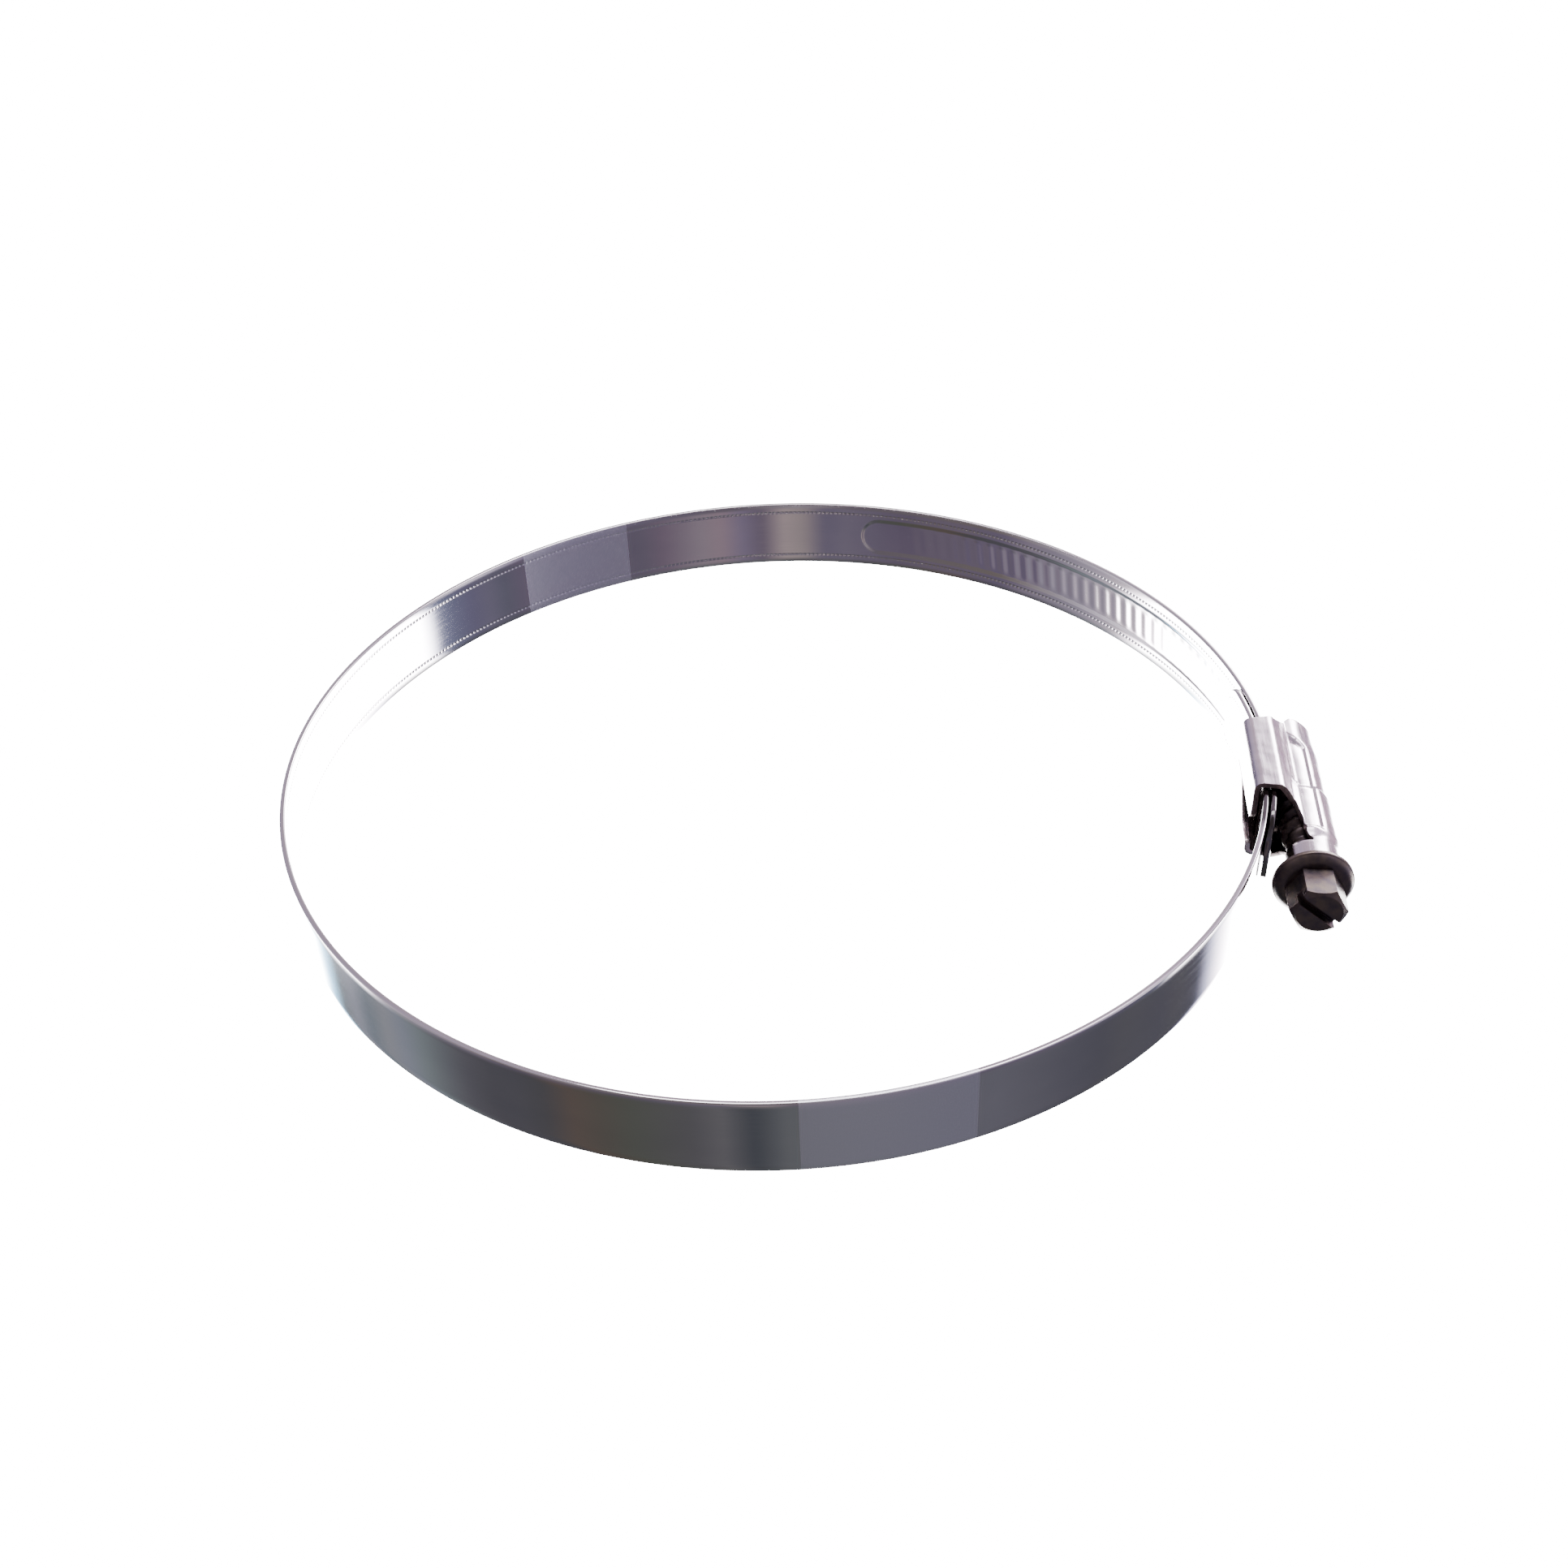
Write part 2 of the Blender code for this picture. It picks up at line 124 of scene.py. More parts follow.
def pit_rows():
    """Rows through the pits, with two more on each side that keep the faces between them flat."""
    steps = (-1.5, -1, 0, 1, 1.5)
    return sorted(side * (PIT_LINE + step * PIT_WIDTH / 2) for side in (-1, 1) for step in steps)


def strip_between(first, last, rows, bore_at, lift_at=None, rounded_start=False, rounded_end=False):
    """The strip from one angle to another, in degrees: its cross-section spun round the ring's axis."""
    bm = bmesh.new()
    loop = [bm.verts.new((BORE + height, 0.0, z)) for height, z in section_points(rows)]
    edges = [bm.edges.new((a, b)) for a, b in zip(loop, loop[1:] + loop[:1])]
    bmesh.ops.rotate(bm, verts=loop, cent=(0, 0, 0), matrix=Matrix.Rotation(math.radians(first), 3, "Z"))
    steps = round(math.radians(last - first) / COLUMN)
    bmesh.ops.spin(
        bm,
        geom=loop + edges,
        cent=(0, 0, 0),
        axis=(0, 0, 1),
        angle=math.radians(last - first),
        steps=steps,
        use_merge=False,
    )
    middle = math.radians((first + last) / 2)
    for vert in bm.verts:
        turned = math.atan2(vert.co.y, vert.co.x) - middle
        angle = math.degrees(middle + math.remainder(turned, 2 * math.pi))
        height = vert.co.xy.length - BORE
        z = vert.co.z
        column = round(math.radians(angle) / COLUMN)
        if height < EDGE_ROUND / 4 and abs(abs(z) - PIT_LINE) < PIT_WIDTH / 4 and column % PIT_EVERY == 0:
            height += PIT_DEPTH
        if lift_at is not None:
            height += lift_at(angle, z, INNER_LIFT + (1 - INNER_LIFT) * min(1.0, height / STRIP))
        reach = CORNER
        if rounded_start:
            reach = min(reach, math.radians(angle - first) * BORE)
        if rounded_end:
            reach = min(reach, math.radians(last - angle) * BORE)
        round_off = CORNER - math.sqrt(max(CORNER**2 - (CORNER - reach) ** 2, 0.0))
        z *= (HALF_WIDTH - round_off) / HALF_WIDTH
        radius = bore_at(angle) + height
        turn = math.radians(angle)
        vert.co = (radius * math.cos(turn), radius * math.sin(turn), z)
    bmesh.ops.holes_fill(bm, edges=[edge for edge in bm.edges if edge.is_boundary], sides=0)
    bmesh.ops.recalc_face_normals(bm, faces=bm.faces)
    return bm


def lay_uv(mesh):
    """UV map in metres: along the strip and across it. The inner face's map lies above the outer's."""
    layer = mesh.uv_layers.new(name="strip")
    inner_shift = 2 * HALF_WIDTH + 8 * MM
    for face in mesh.polygons:
        centre = Vector(face.center)
        inside = face.normal.xy.dot(centre.xy) < 0
        base = math.atan2(centre.y, centre.x) % (2 * math.pi)
        for index in face.loop_indices:
            place = mesh.vertices[mesh.loops[index].vertex_index].co
            turn = base + math.remainder(math.atan2(place.y, place.x) - base, 2 * math.pi)
            across = place.z + HALF_WIDTH + (inner_shift if inside else 0.0)
            layer.data[index].uv = (turn * BORE, across)


def finish_piece(name, bm, material, body, replaced=(), smooth_angle=35):
    """Writes a bmesh to an object that rides on a body and stands for its CAD nodes."""
    mesh = bpy.data.meshes.new(name)
    bm.to_mesh(mesh)
    bm.free()
    mesh.shade_smooth()
    mesh.set_sharp_from_angle(angle=math.radians(smooth_angle))
    mesh.materials.append(material)
    piece = bpy.data.objects.new(name, mesh)
    bpy.context.scene.collection.objects.link(piece)
    if body is not None:
        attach(piece, body)
    if replaced:
        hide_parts(*replaced)
    return piece


def linear(hex_colour):
    """An sRGB hex colour as linear RGBA."""
    parts = [int(hex_colour[place : place + 2], 16) / 255 for place in (1, 3, 5)]
    return (*[part / 12.92 if part <= 0.04045 else ((part + 0.055) / 1.055) ** 2.4 for part in parts], 1.0)


def add_node(tree, kind, inputs=None, **settings):
    """Adds a node. inputs maps a socket to a value, or to another node's output, which is linked to it."""
    made = tree.nodes.new(kind)
    for key, value in settings.items():
        setattr(made, key, value)
    for key, value in (inputs or {}).items():
        if isinstance(value, bpy.types.NodeSocket):
            tree.links.new(value, made.inputs[key])
        else:
            made.inputs[key].default_value = value
    return made


def new_material(name):
    material = bpy.data.materials.new(name)
    material.use_nodes = True
    material.node_tree.nodes.clear()
    return material, material.node_tree


# Bright-rolled spring stainless: a near mirror that shows long faint streaks along the strip from the
# rolls, a slight lavender cast, and two blank satin fields where a marking roller has dulled the
# surface. Where the two layers leave the housing, the strip is painted dark: painted shade for the dark gap
# between them.
FIELDS = ((278.2, 295.9, False), (117.0, 133.0, True))  # first and last angle, and on the inner face
# Painted shade: the strip's colour darkens from the first angle, in degrees, to full at the second, by this
# share.
PAINTED_SHADE_FIRST, PAINTED_SHADE_FULL = 346.4, 348.4  # degrees
PAINTED_SHADE_COVER = 0.82


def rolled_stainless():
    material, tree = new_material("rolled_spring_stainless")
    uv = add_node(tree, "ShaderNodeUVMap", uv_map="strip").outputs["UV"]
    millimetres = add_node(
        tree, "ShaderNodeVectorMath", {0: uv, 1: (1000.0, 1000.0, 1000.0)}, operation="MULTIPLY"
    ).outputs[0]
    streak_place = add_node(tree, "ShaderNodeMapping", {"Vector": millimetres, "Scale": (0.03, 2.6, 1.0)})
    streaks = add_node(
        tree, "ShaderNodeTexNoise", {"Vector": streak_place.outputs[0], "Scale": 1.0, "Detail": 3.0}
    ).outputs["Fac"]
    cloud_place = add_node(tree, "ShaderNodeMapping", {"Vector": millimetres, "Scale": (0.09, 0.16, 1.0)})
    clouds = add_node(
        tree, "ShaderNodeTexNoise", {"Vector": cloud_place.outputs[0], "Scale": 1.0, "Detail": 2.0}
    ).outputs["Fac"]
    split = add_node(tree, "ShaderNodeSeparateXYZ", {"Vector": uv})
    along, across = split.outputs[0], split.outputs[1]
    field_masks = []
    for first, last, inside in FIELDS:
        after = add_node(
            tree, "ShaderNodeMath", {0: along, 1: math.radians(first) * BORE}, operation="GREATER_THAN"
        ).outputs[0]
        before = add_node(
            tree, "ShaderNodeMath", {0: along, 1: math.radians(last) * BORE}, operation="LESS_THAN"
        ).outputs[0]
        side = add_node(
            tree,
            "ShaderNodeMath",
            {0: across, 1: 2 * HALF_WIDTH + 4 * MM},
            operation="GREATER_THAN" if inside else "LESS_THAN",
        ).outputs[0]
        both = add_node(tree, "ShaderNodeMath", {0: after, 1: before}, operation="MULTIPLY").outputs[0]
        masked = add_node(tree, "ShaderNodeMath", {0: both, 1: side}, operation="MULTIPLY")
        field_masks.append(masked.outputs[0])
    field = add_node(tree, "ShaderNodeMath", dict(enumerate(field_masks)), operation="MAXIMUM").outputs[0]

    bare = add_node(
        tree,
        "ShaderNodeMix",
        {"Factor": clouds, "A": linear("#bebabf"), "B": linear("#cdc8ca")},
        data_type="RGBA",
    ).outputs["Result"]
    colour = add_node(
        tree, "ShaderNodeMix", {"Factor": field, "A": bare, "B": linear("#dfdde5")}, data_type="RGBA"
    ).outputs["Result"]
    # Painted shade: towards the housing the strip's colour is mixed with dark #2c2425, standing in for the
    # shade of the gap between the layers.
    behind = add_node(
        tree,
        "ShaderNodeMapRange",
        {
            "Value": along,
            "From Min": math.radians(PAINTED_SHADE_FIRST) * BORE,
            "From Max": math.radians(PAINTED_SHADE_FULL) * BORE,
        },
    ).outputs["Result"]
    painted_shade = add_node(tree, "ShaderNodeMath", {0: behind, 1: PAINTED_SHADE_COVER}, operation="MULTIPLY").outputs[0]
    colour = add_node(
        tree, "ShaderNodeMix", {"Factor": painted_shade, "A": colour, "B": linear("#2c2425")}, data_type="RGBA"
    ).outputs["Result"]
    polish = add_node(
        tree,
        "ShaderNodeMapRange",
        {"Value": streaks, "From Min": 0.3, "From Max": 0.7, "To Min": 0.06, "To Max": 0.11},
    ).outputs["Result"]
    roughness = add_node(
        tree, "ShaderNodeMix", {"Factor": field, "A": polish, "B": 0.34}, data_type="FLOAT"
    ).outputs["Result"]
    bump = add_node(
        tree, "ShaderNodeBump", {"Height": streaks, "Strength": 0.1, "Distance": 0.01 * MM}
    ).outputs["Normal"]
    shader = add_node(
        tree,
        "ShaderNodeBsdfPrincipled",
        {"Base Color": colour, "Metallic": 1.0, "Roughness": roughness, "Normal": bump},
    )
    add_node(tree, "ShaderNodeOutputMaterial", {"Surface": shader.outputs[0]})
    return material


band_steel = rolled_stainless()
tongue_low, tongue_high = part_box("band_fixed_end")
tongue_first = math.degrees(math.asin(tongue_low.y / BORE))
tongue_last = math.degrees(math.asin(tongue_high.y / BORE))
tongue = strip_between(tongue_first, tongue_last, pit_rows(), lambda angle: BORE, rounded_end=True)
tongue_piece = finish_piece("strip_fixed_end", tongue, band_steel, "housing", ["band_fixed_end"])
lay_uv(tongue_piece.data)

# ---------------------------------------------------------------------------------------------------
# Threaded free end of the band. The thread is pressed outwards, not cut through: each ridge is a
# slanted, round-ended rib 6 mm long, 2.5 mm from the next, on a slightly raised panel. The end has
# rounded corners so that it goes into the housing easily.
PITCH = 2.5 * MM
RIB_HALF_LENGTH = 3.0 * MM
RIB_HALF_WIDTH = 1.25 * MM
PANEL_HEIGHT = 0.13 * MM
PANEL_HALF_WIDTH = 3.5 * MM
PANEL_EDGE = 0.5 * MM
PANEL_END = 83.0  # degrees
RIBS_END = 80.0
RIBS_FADE = 22.0 * MM  # the last ribs are pressed less and less deep
PLAIN_TAIL = 4.0 * MM
SCREW_RADIUS = 3.15 * MM
MESH_DEPTH = 0.3 * MM
MESH_RADIUS = THREADED_BORE + STRIP + RIB_HEIGHT - MESH_DEPTH / 2
RIB_SLANT = PITCH / (2 * math.pi * (SCREW_RADIUS - MESH_DEPTH / 2))
RIGID_END = 50.0  # the band bends beyond this angle
free_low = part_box("band_threaded_end")[0]
TAIL_ANGLE = math.degrees(math.asin(free_low.y / THREADED_BORE))


def thread_lift(angle, z, share):
    """How far the strip is pressed outwards: the raised panel, and a share of the ribs on it."""
    panel_reach = PANEL_HALF_WIDTH - abs(z)
    end_gap = math.radians(PANEL_END - angle) * MESH_RADIUS
    if end_gap < PANEL_HALF_WIDTH:
        panel_reach = PANEL_HALF_WIDTH - math.hypot(abs(z), PANEL_HALF_WIDTH - end_gap)
    start_gap = math.radians(angle - TAIL_ANGLE) * MESH_RADIUS - PLAIN_TAIL / 2
    lift = PANEL_HEIGHT * smooth_step(min(panel_reach, start_gap) / PANEL_EDGE)
    along = math.radians(angle) * MESH_RADIUS - z * RIB_SLANT
    rib = round(along / PITCH - 0.25)
    centre = (rib + 0.25) * PITCH
    start = math.radians(TAIL_ANGLE) * MESH_RADIUS + PLAIN_TAIL
    if start < centre < math.radians(RIBS_END) * MESH_RADIUS:
        past_end = max(0.0, abs(z) - RIB_HALF_LENGTH + RIB_HALF_WIDTH)
        distance = min(1.0, math.hypot(along - centre, past_end) / RIB_HALF_WIDTH)
        shallow = smooth_step((math.radians(RIBS_END) * MESH_RADIUS - centre) / RIBS_FADE)
        height = (RIB_HEIGHT - PANEL_HEIGHT) * shallow * share
        lift += height * (0.5 + 0.5 * math.cos(math.pi * distance))
    return lift


def thread_rows():
    """Rows across the threaded part of the strip, close enough for the ribs' rounded ends."""
    fine = [step * 0.3 * MM for step in range(-13, 14)]
    return sorted(fine + pit_rows())


free_end = strip_between(
    TAIL_ANGLE, RIGID_END, thread_rows(), lambda angle: THREADED_BORE, thread_lift, rounded_start=True
)
free_piece = finish_piece("strip_threaded_end", free_end, band_steel, "threaded_end", ["band_threaded_end"])
lay_uv(free_piece.data)

# ---------------------------------------------------------------------------------------------------
# The rest of the ring. The same strip runs on round the ring, comes in by one layer, and enters the
# housing under its free end. On the clamp it bends as the screw draws it tighter; here it is only cut into
# lengths, each from the middle of one arc to the middle of the next, over the hinge between them.
LINK_REACH = 5.0 * MM  # how far short of the housing's middle the strip's last length ends
LINK_LAST = 360 - math.degrees(math.asin(LINK_REACH / BORE))
middles = [(a + b) / 2 for a, b in zip(flex_angles, flex_angles[1:])]
starts = [RIGID_END] + middles
ends = middles + [LINK_LAST]


for number, (first, last) in enumerate(zip(starts, ends), 1):
    rows = thread_rows() if first < PANEL_END else pit_rows()
    lift = thread_lift if first < PANEL_END else None
    curve = strip_between(first, last, rows, layer_bore, lift)
    piece = finish_piece(f"strip_curve_{number}", curve, band_steel, None, [f"band_arc_{number}"])
    lay_uv(piece.data)
    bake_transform(piece)

# ---------------------------------------------------------------------------------------------------
# Housing. One piece of stainless sheet, pressed and folded: two flaps under the band, hooks round its
# edges, a shelf over both layers, a tunnel over the screw with a shallow recess pressed in each side,
# and a wider collar round the screw's shoulder. The blank is tumbled, so its edges are softened.
SHEET = 0.8 * MM
GAP = 0.3 * MM
BEND = 1.0 * MM
AXIS_X = hinges["screw_turn"]["pos_m"][0]
TUNNEL = SCREW_RADIUS + 0.2 * MM + SHEET / 2  # middle of the sheet, from the screw's axis
HOOK_REAR, HOOK_FRONT = -8.4 * MM, 7.8 * MM  # places along the screw, towards its head
TUNNEL_REAR = -12.3 * MM
COLLAR_REAR, COLLAR_FRONT = 16.4 * MM, 20.3 * MM
COLLAR_LAST = 130.0  # degrees round the screw, from the crest
FLANK_TURN = 40.0  # degrees from the strip's plane to the sloping flank
LOWER_CUT = 0.12  # the lower hook is cut back by this share in front
LOWER_LIP = 0.2  # share of the lower flap left at its front corner
FOOT = 0.8 * MM  # bend between the flank and the tunnel's side
SIDE_STEPS = 9
DOME_STEPS = 30
ROWS_BEHIND = 110
ROWS_IN_COLLAR = 8
sag = BORE - math.sqrt(BORE**2 - HOOK_FRONT**2)
flap_x = BORE - GAP - 0.2 * MM - sag - SHEET / 2
shelf_x = THREADED_BORE + STRIP + GAP + SHEET / 2
edge_z = HALF_WIDTH + GAP + SHEET / 2
HEIGHT_ZERO = BORE + STRIP  # heights over the fixed layer are measured from here

half_section = [(flap_x, 0.15 * MM + (edge_z - BEND) * step / 10) for step in range(10)]
half_section += arc(flap_x + BEND, edge_z - BEND, BEND, 180, 90, 8)
half_section += arc(shelf_x - BEND, edge_z - BEND, BEND, 90, FLANK_TURN, 6)
crest_x, crest_z = half_section[-1]
foot_turn = arc(0.0, TUNNEL + FOOT, FOOT, 180 + FLANK_TURN, 270, 6)
drop = crest_z - foot_turn[0][1]
run = drop * math.tan(math.radians(FLANK_TURN))
half_section += [(crest_x + run * step / 12, crest_z - drop * step / 12) for step in range(1, 12)]
foot_x = crest_x + run - foot_turn[0][0]
half_section += [(foot_x + x, z) for x, z in foot_turn]
half_section += [(foot_x + (AXIS_X - foot_x) * step / SIDE_STEPS, TUNNEL) for step in range(1, SIDE_STEPS)]
skirt_columns = len(half_section)
half_section += arc(AXIS_X, 0.0, TUNNEL, 90, 0, DOME_STEPS)


def between(value, points):
    """Value read off a line of (place, value) points."""
    for (a, first), (b, last) in zip(points, points[1:]):
        if value < b:
            return first + (last - first) * max(0.0, value - a) / (b - a)
    return points[-1][1]


def rear_edge(x, z):
    """Where the sheet ends behind: square at the hooks, slanting back over the tunnel."""
    chamfer = max(0.0, 1.1 * MM - z) if x < BORE else 0.0
    height = x - HEIGHT_ZERO
    slope = [(0.0, HOOK_REAR), (2.2 * MM, HOOK_REAR - 1.0 * MM), (4.8 * MM, TUNNEL_REAR)]
    return between(height, slope) + chamfer


def front_edge(x, z):
    """Where the sheet ends in front of the hooks: cut back in a curve, then along the tunnel's skirt."""
    chamfer = max(0.0, 1.1 * MM - z) if x < BORE else 0.0
    curve = [(0.0, HOOK_FRONT), (1.4 * MM, 8.1 * MM), (2.5 * MM, 8.5 * MM), (3.0 * MM, 9.2 * MM)]
    curve += [(3.3 * MM, 12.4 * MM), (3.8 * MM, 14.4 * MM), (4.2 * MM, 15.4 * MM), (4.8 * MM, COLLAR_REAR)]
    return between(x - HEIGHT_ZERO, curve) - chamfer


def pressed(x, z, out_x, out_z, place):
    """The section's point at a place along the screw, moved outwards along (out_x, out_z) where pressed."""
    height = x - HEIGHT_ZERO
    if x < flap_x + 0.3 * MM:
        return x, z
    # The hook is drawn in a little between the flap and the shelf, and a soft ridge runs over it.
    groove = max(0.0, math.cos(math.pi * (x - (flap_x + shelf_x) / 2) / (shelf_x - flap_x)))
    moved = -0.14 * MM * groove**2
    ridge = max(0.0, 1 - abs(height - 2.5 * MM) / (0.8 * MM))
    moved += 0.11 * MM * smooth_step(ridge) * smooth_step((7.0 * MM - place) / (5.0 * MM))
    # The tunnel widens in front and draws in behind. Round the recess in its side, the sheet is raised.
    over_tunnel = smooth_step((height - 2.6 * MM) / (1.2 * MM))
    moved += over_tunnel * (0.32 * MM * smooth_step((place - 3.9 * MM) / MM) - 0.12 * MM)
    moved -= 0.35 * MM * over_tunnel * smooth_step((-4.0 * MM - place) / (8.0 * MM))
    recess_rear = -8.65 * MM + 1.15 * max(0.0, height - 4.0 * MM)
    inside = smooth_step((height - 3.8 * MM) / (0.35 * MM))
    inside *= smooth_step((place - recess_rear) / (0.9 * MM))
    inside *= smooth_step((6.6 * MM - height) / (0.45 * MM))
    inside *= smooth_step((14.6 * MM - place) / (1.2 * MM))
    rim = 0.55 - 0.25 * smooth_step((height - 5.0 * MM) / (1.6 * MM))
    raised = (rim * (1 - inside) - 0.1 * inside) * MM
    moved += over_tunnel * raised * (1 - smooth_step((place - 14.0 * MM) / (2.0 * MM)))
    return x + moved * out_x, z + moved * out_z


def build_housing():
    columns = len(half_section)
    rows = ROWS_BEHIND + ROWS_IN_COLLAR + 1
    bm = bmesh.new()
    bmesh.ops.create_grid(bm, x_segments=columns - 1, y_segments=rows - 1, size=0.5)
    opened = []
    for face in bm.faces:
        centre = face.calc_center_median()
        row = (centre.y + 0.5) * (rows - 1)
        column = (centre.x + 0.5) * (columns - 1)
        if ROWS_BEHIND < row < ROWS_BEHIND + 1 and column < skirt_columns:
            opened.append(face)
    for vert in bm.verts:
        column = round((vert.co.x + 0.5) * (columns - 1))
        row = round((vert.co.y + 0.5) * (rows - 1))
        x, z = half_section[column]
        before, after = half_section[max(column - 1, 0)], half_section[min(column + 1, columns - 1)]
        step_x, step_z = after[0] - before[0], after[1] - before[1]
        step_length = math.hypot(step_x, step_z)
        in_collar = (row - ROWS_BEHIND) / ROWS_IN_COLLAR
        if row <= ROWS_BEHIND:
            front = front_edge(x, z) if column < skirt_columns else COLLAR_REAR
            rear = rear_edge(x, z)
            place = rear + (front - rear) * row / ROWS_BEHIND
        else:
            place = COLLAR_REAR + (COLLAR_FRONT - COLLAR_REAR) * in_collar
            if column < skirt_columns:
                turn = math.radians(90 + (COLLAR_LAST - 90) * (1 - column / skirt_columns))
                x, z = AXIS_X + TUNNEL * math.cos(turn), TUNNEL * math.sin(turn)
                radius = TUNNEL + 0.2 * MM
                vert.co = (AXIS_X + radius * math.cos(turn), -place, radius * math.sin(turn))
                continue
        x, z = pressed(x, z, -step_z / step_length, step_x / step_length, place)
        vert.co = (x, -place, z)
    bmesh.ops.delete(bm, geom=opened, context="FACES")
    half = bm.verts[:] + bm.edges[:] + bm.faces[:]
    bmesh.ops.mirror(bm, geom=half, matrix=Matrix.Identity(4), merge_dist=0.01 * MM, axis="Z")
    bmesh.ops.remove_doubles(bm, verts=bm.verts, dist=0.005 * MM)
    for vert in bm.verts:
        if vert.co.z < 0 and vert.co.y < 0:
            below = 1 - smooth_step((vert.co.x - HEIGHT_ZERO - 0.4 * MM) / (2.4 * MM))
            vert.co.y *= 1 - LOWER_CUT * below
        if vert.co.z < 0 and vert.co.x < flap_x + 0.6 * MM:
            forward = smooth_step((-vert.co.y + 4.0 * MM) / (8.0 * MM))
            foot = -(edge_z - BEND)
            if vert.co.z > foot:
                vert.co.z = foot + (vert.co.z - foot) * (1 - (1 - LOWER_LIP) * forward)
    bmesh.ops.recalc_face_normals(bm, faces=bm.faces)
    return bm


# Pressed stainless, tumbled: brighter and softer than the strip, with faint draw marks along the
# housing and slow waves in the sheet where the tool let it go, which break up what it mirrors.
def pressed_stainless():
    material, tree = new_material("pressed_tumbled_stainless")
    place = add_node(tree, "ShaderNodeTexCoord").outputs["Object"]
    millimetres = add_node(
        tree, "ShaderNodeVectorMath", {0: place, 1: (1000.0, 1000.0, 1000.0)}, operation="MULTIPLY"
    ).outputs[0]
    draw_place = add_node(tree, "ShaderNodeMapping", {"Vector": millimetres, "Scale": (3.2, 0.12, 3.2)})
    draw = add_node(
        tree, "ShaderNodeTexNoise", {"Vector": draw_place.outputs[0], "Scale": 1.0, "Detail": 3.0}
    ).outputs["Fac"]
    waves = add_node(
        tree, "ShaderNodeTexNoise", {"Vector": millimetres, "Scale": 0.3, "Detail": 1.0}
    ).outputs["Fac"]
    colour = add_node(
        tree,
        "ShaderNodeMix",
        {"Factor": waves, "A": linear("#b7abb8"), "B": linear("#d6cdd1")},
        data_type="RGBA",
    ).outputs["Result"]
    roughness = add_node(
        tree,
        "ShaderNodeMapRange",
        {"Value": draw, "From Min": 0.3, "From Max": 0.7, "To Min": 0.17, "To Max": 0.30},
    ).outputs["Result"]
    wave_bump = add_node(
        tree, "ShaderNodeBump", {"Height": waves, "Strength": 0.5, "Distance": 0.2 * MM}
    ).outputs["Normal"]
    bump = add_node(
        tree,
        "ShaderNodeBump",
        {"Height": draw, "Strength": 0.35, "Distance": 0.02 * MM, "Normal": wave_bump},
    ).outputs["Normal"]
    shader = add_node(
        tree,
        "ShaderNodeBsdfPrincipled",
        {"Base Color": colour, "Metallic": 1.0, "Roughness": roughness, "Normal": bump},
    )
    add_node(tree, "ShaderNodeOutputMaterial", {"Surface": shader.outputs[0]})
    return material


def mottled_steel(name, scale, detail, dark, light, roughness):
    """Dull steel with a fine mottle between two colours."""
    material, tree = new_material(name)
    place = add_node(tree, "ShaderNodeTexCoord").outputs["Object"]
    mottle = add_node(tree, "ShaderNodeTexNoise", {"Vector": place, "Scale": scale, "Detail": detail})
    colour = add_node(
        tree,
        "ShaderNodeMix",
        {"Factor": mottle.outputs["Fac"], "A": linear(dark), "B": linear(light)},
        data_type="RGBA",
    ).outputs["Result"]
    shader = add_node(
        tree, "ShaderNodeBsdfPrincipled", {"Base Color": colour, "Metallic": 1.0, "Roughness": roughness}
    )
    add_node(tree, "ShaderNodeOutputMaterial", {"Surface": shader.outputs[0]})
    return material


outer_steel = pressed_stainless()
housing = finish_piece("pressed_housing", build_housing(), outer_steel, "housing", ["housing"])
# Inside, the same steel is dulled and painted dark, mottled every 1.5 mm or so: painted shade for the
# housing's unlit inside.
painted_shade_inside_steel = mottled_steel("stainless_inside_painted_shade", 700.0, 3.0, "#453b3d", "#625654", 0.45)
# A cut edge shows the punch's burnished band and its torn grey-brown break, 0.4 mm from light to dark.
edge_steel = mottled_steel("stainless_sheared_edge", 2600.0, 2.0, "#7d6c6d", "#a39291", 0.5)
for steel in (painted_shade_inside_steel, edge_steel, outer_steel, painted_shade_inside_steel, outer_steel):
    housing.data.materials.append(steel)
for face in housing.data.polygons:
    if face.center.z < 0 and face.center.x < BORE:
        face.material_index = 3  # the lower flap: its rim, two slots on, is burnished bright by the fold
wall = housing.modifiers.new("sheet_thickness", "SOLIDIFY")
wall.thickness = SHEET
wall.offset = 0.0
wall.material_offset = 1
wall.material_offset_rim = 2
tumbled = housing.modifiers.new("tumbled_edges", "BEVEL")
tumbled.width = 0.12 * MM
tumbled.segments = 2
tumbled.limit_method = "ANGLE"
tumbled.angle_limit = math.radians(50)

# ---------------------------------------------------------------------------------------------------
# Worm screw. Cold-headed steel in one piece, its thread rolled: a right-hand worm with the band's
# pitch, a plain shoulder that turns in the collar, a domed washer flange that takes the thrust, and a
# 7 mm hexagon with a slot across it.
ROOT_RADIUS = 2.25 * MM
SHOULDER_RADIUS = 3.05 * MM
THREAD_FIRST, THREAD_LAST = -10.4 * MM, 14.4 * MM
THREAD_ROWS = 138
FLANGE_REAR = 20.6 * MM
FLANGE_RADIUS = 5.6 * MM
HEX_FLATS = 7.0 * MM
HEX_END = 27.6 * MM
HEX_FOOT = 22.0 * MM
SLOT_WIDTH = 1.2 * MM
SLOT_DEPTH = 1.7 * MM
SLOT_TURN = math.radians(39)


def worm_height(place, angle):
    """Share of the thread's height at a place along the screw and an angle from +Z towards +X."""
    turn = (-place / PITCH - angle / (2 * math.pi)) % 1.0
    distance = min(turn, 1.0 - turn)
    share = smooth_step((0.31 - distance) / 0.22)
    front = smooth_step((THREAD_LAST - place) / PITCH)
    rear = smooth_step((place + 9.6 * MM) / (1.6 * PITCH))
    return share * front * rear


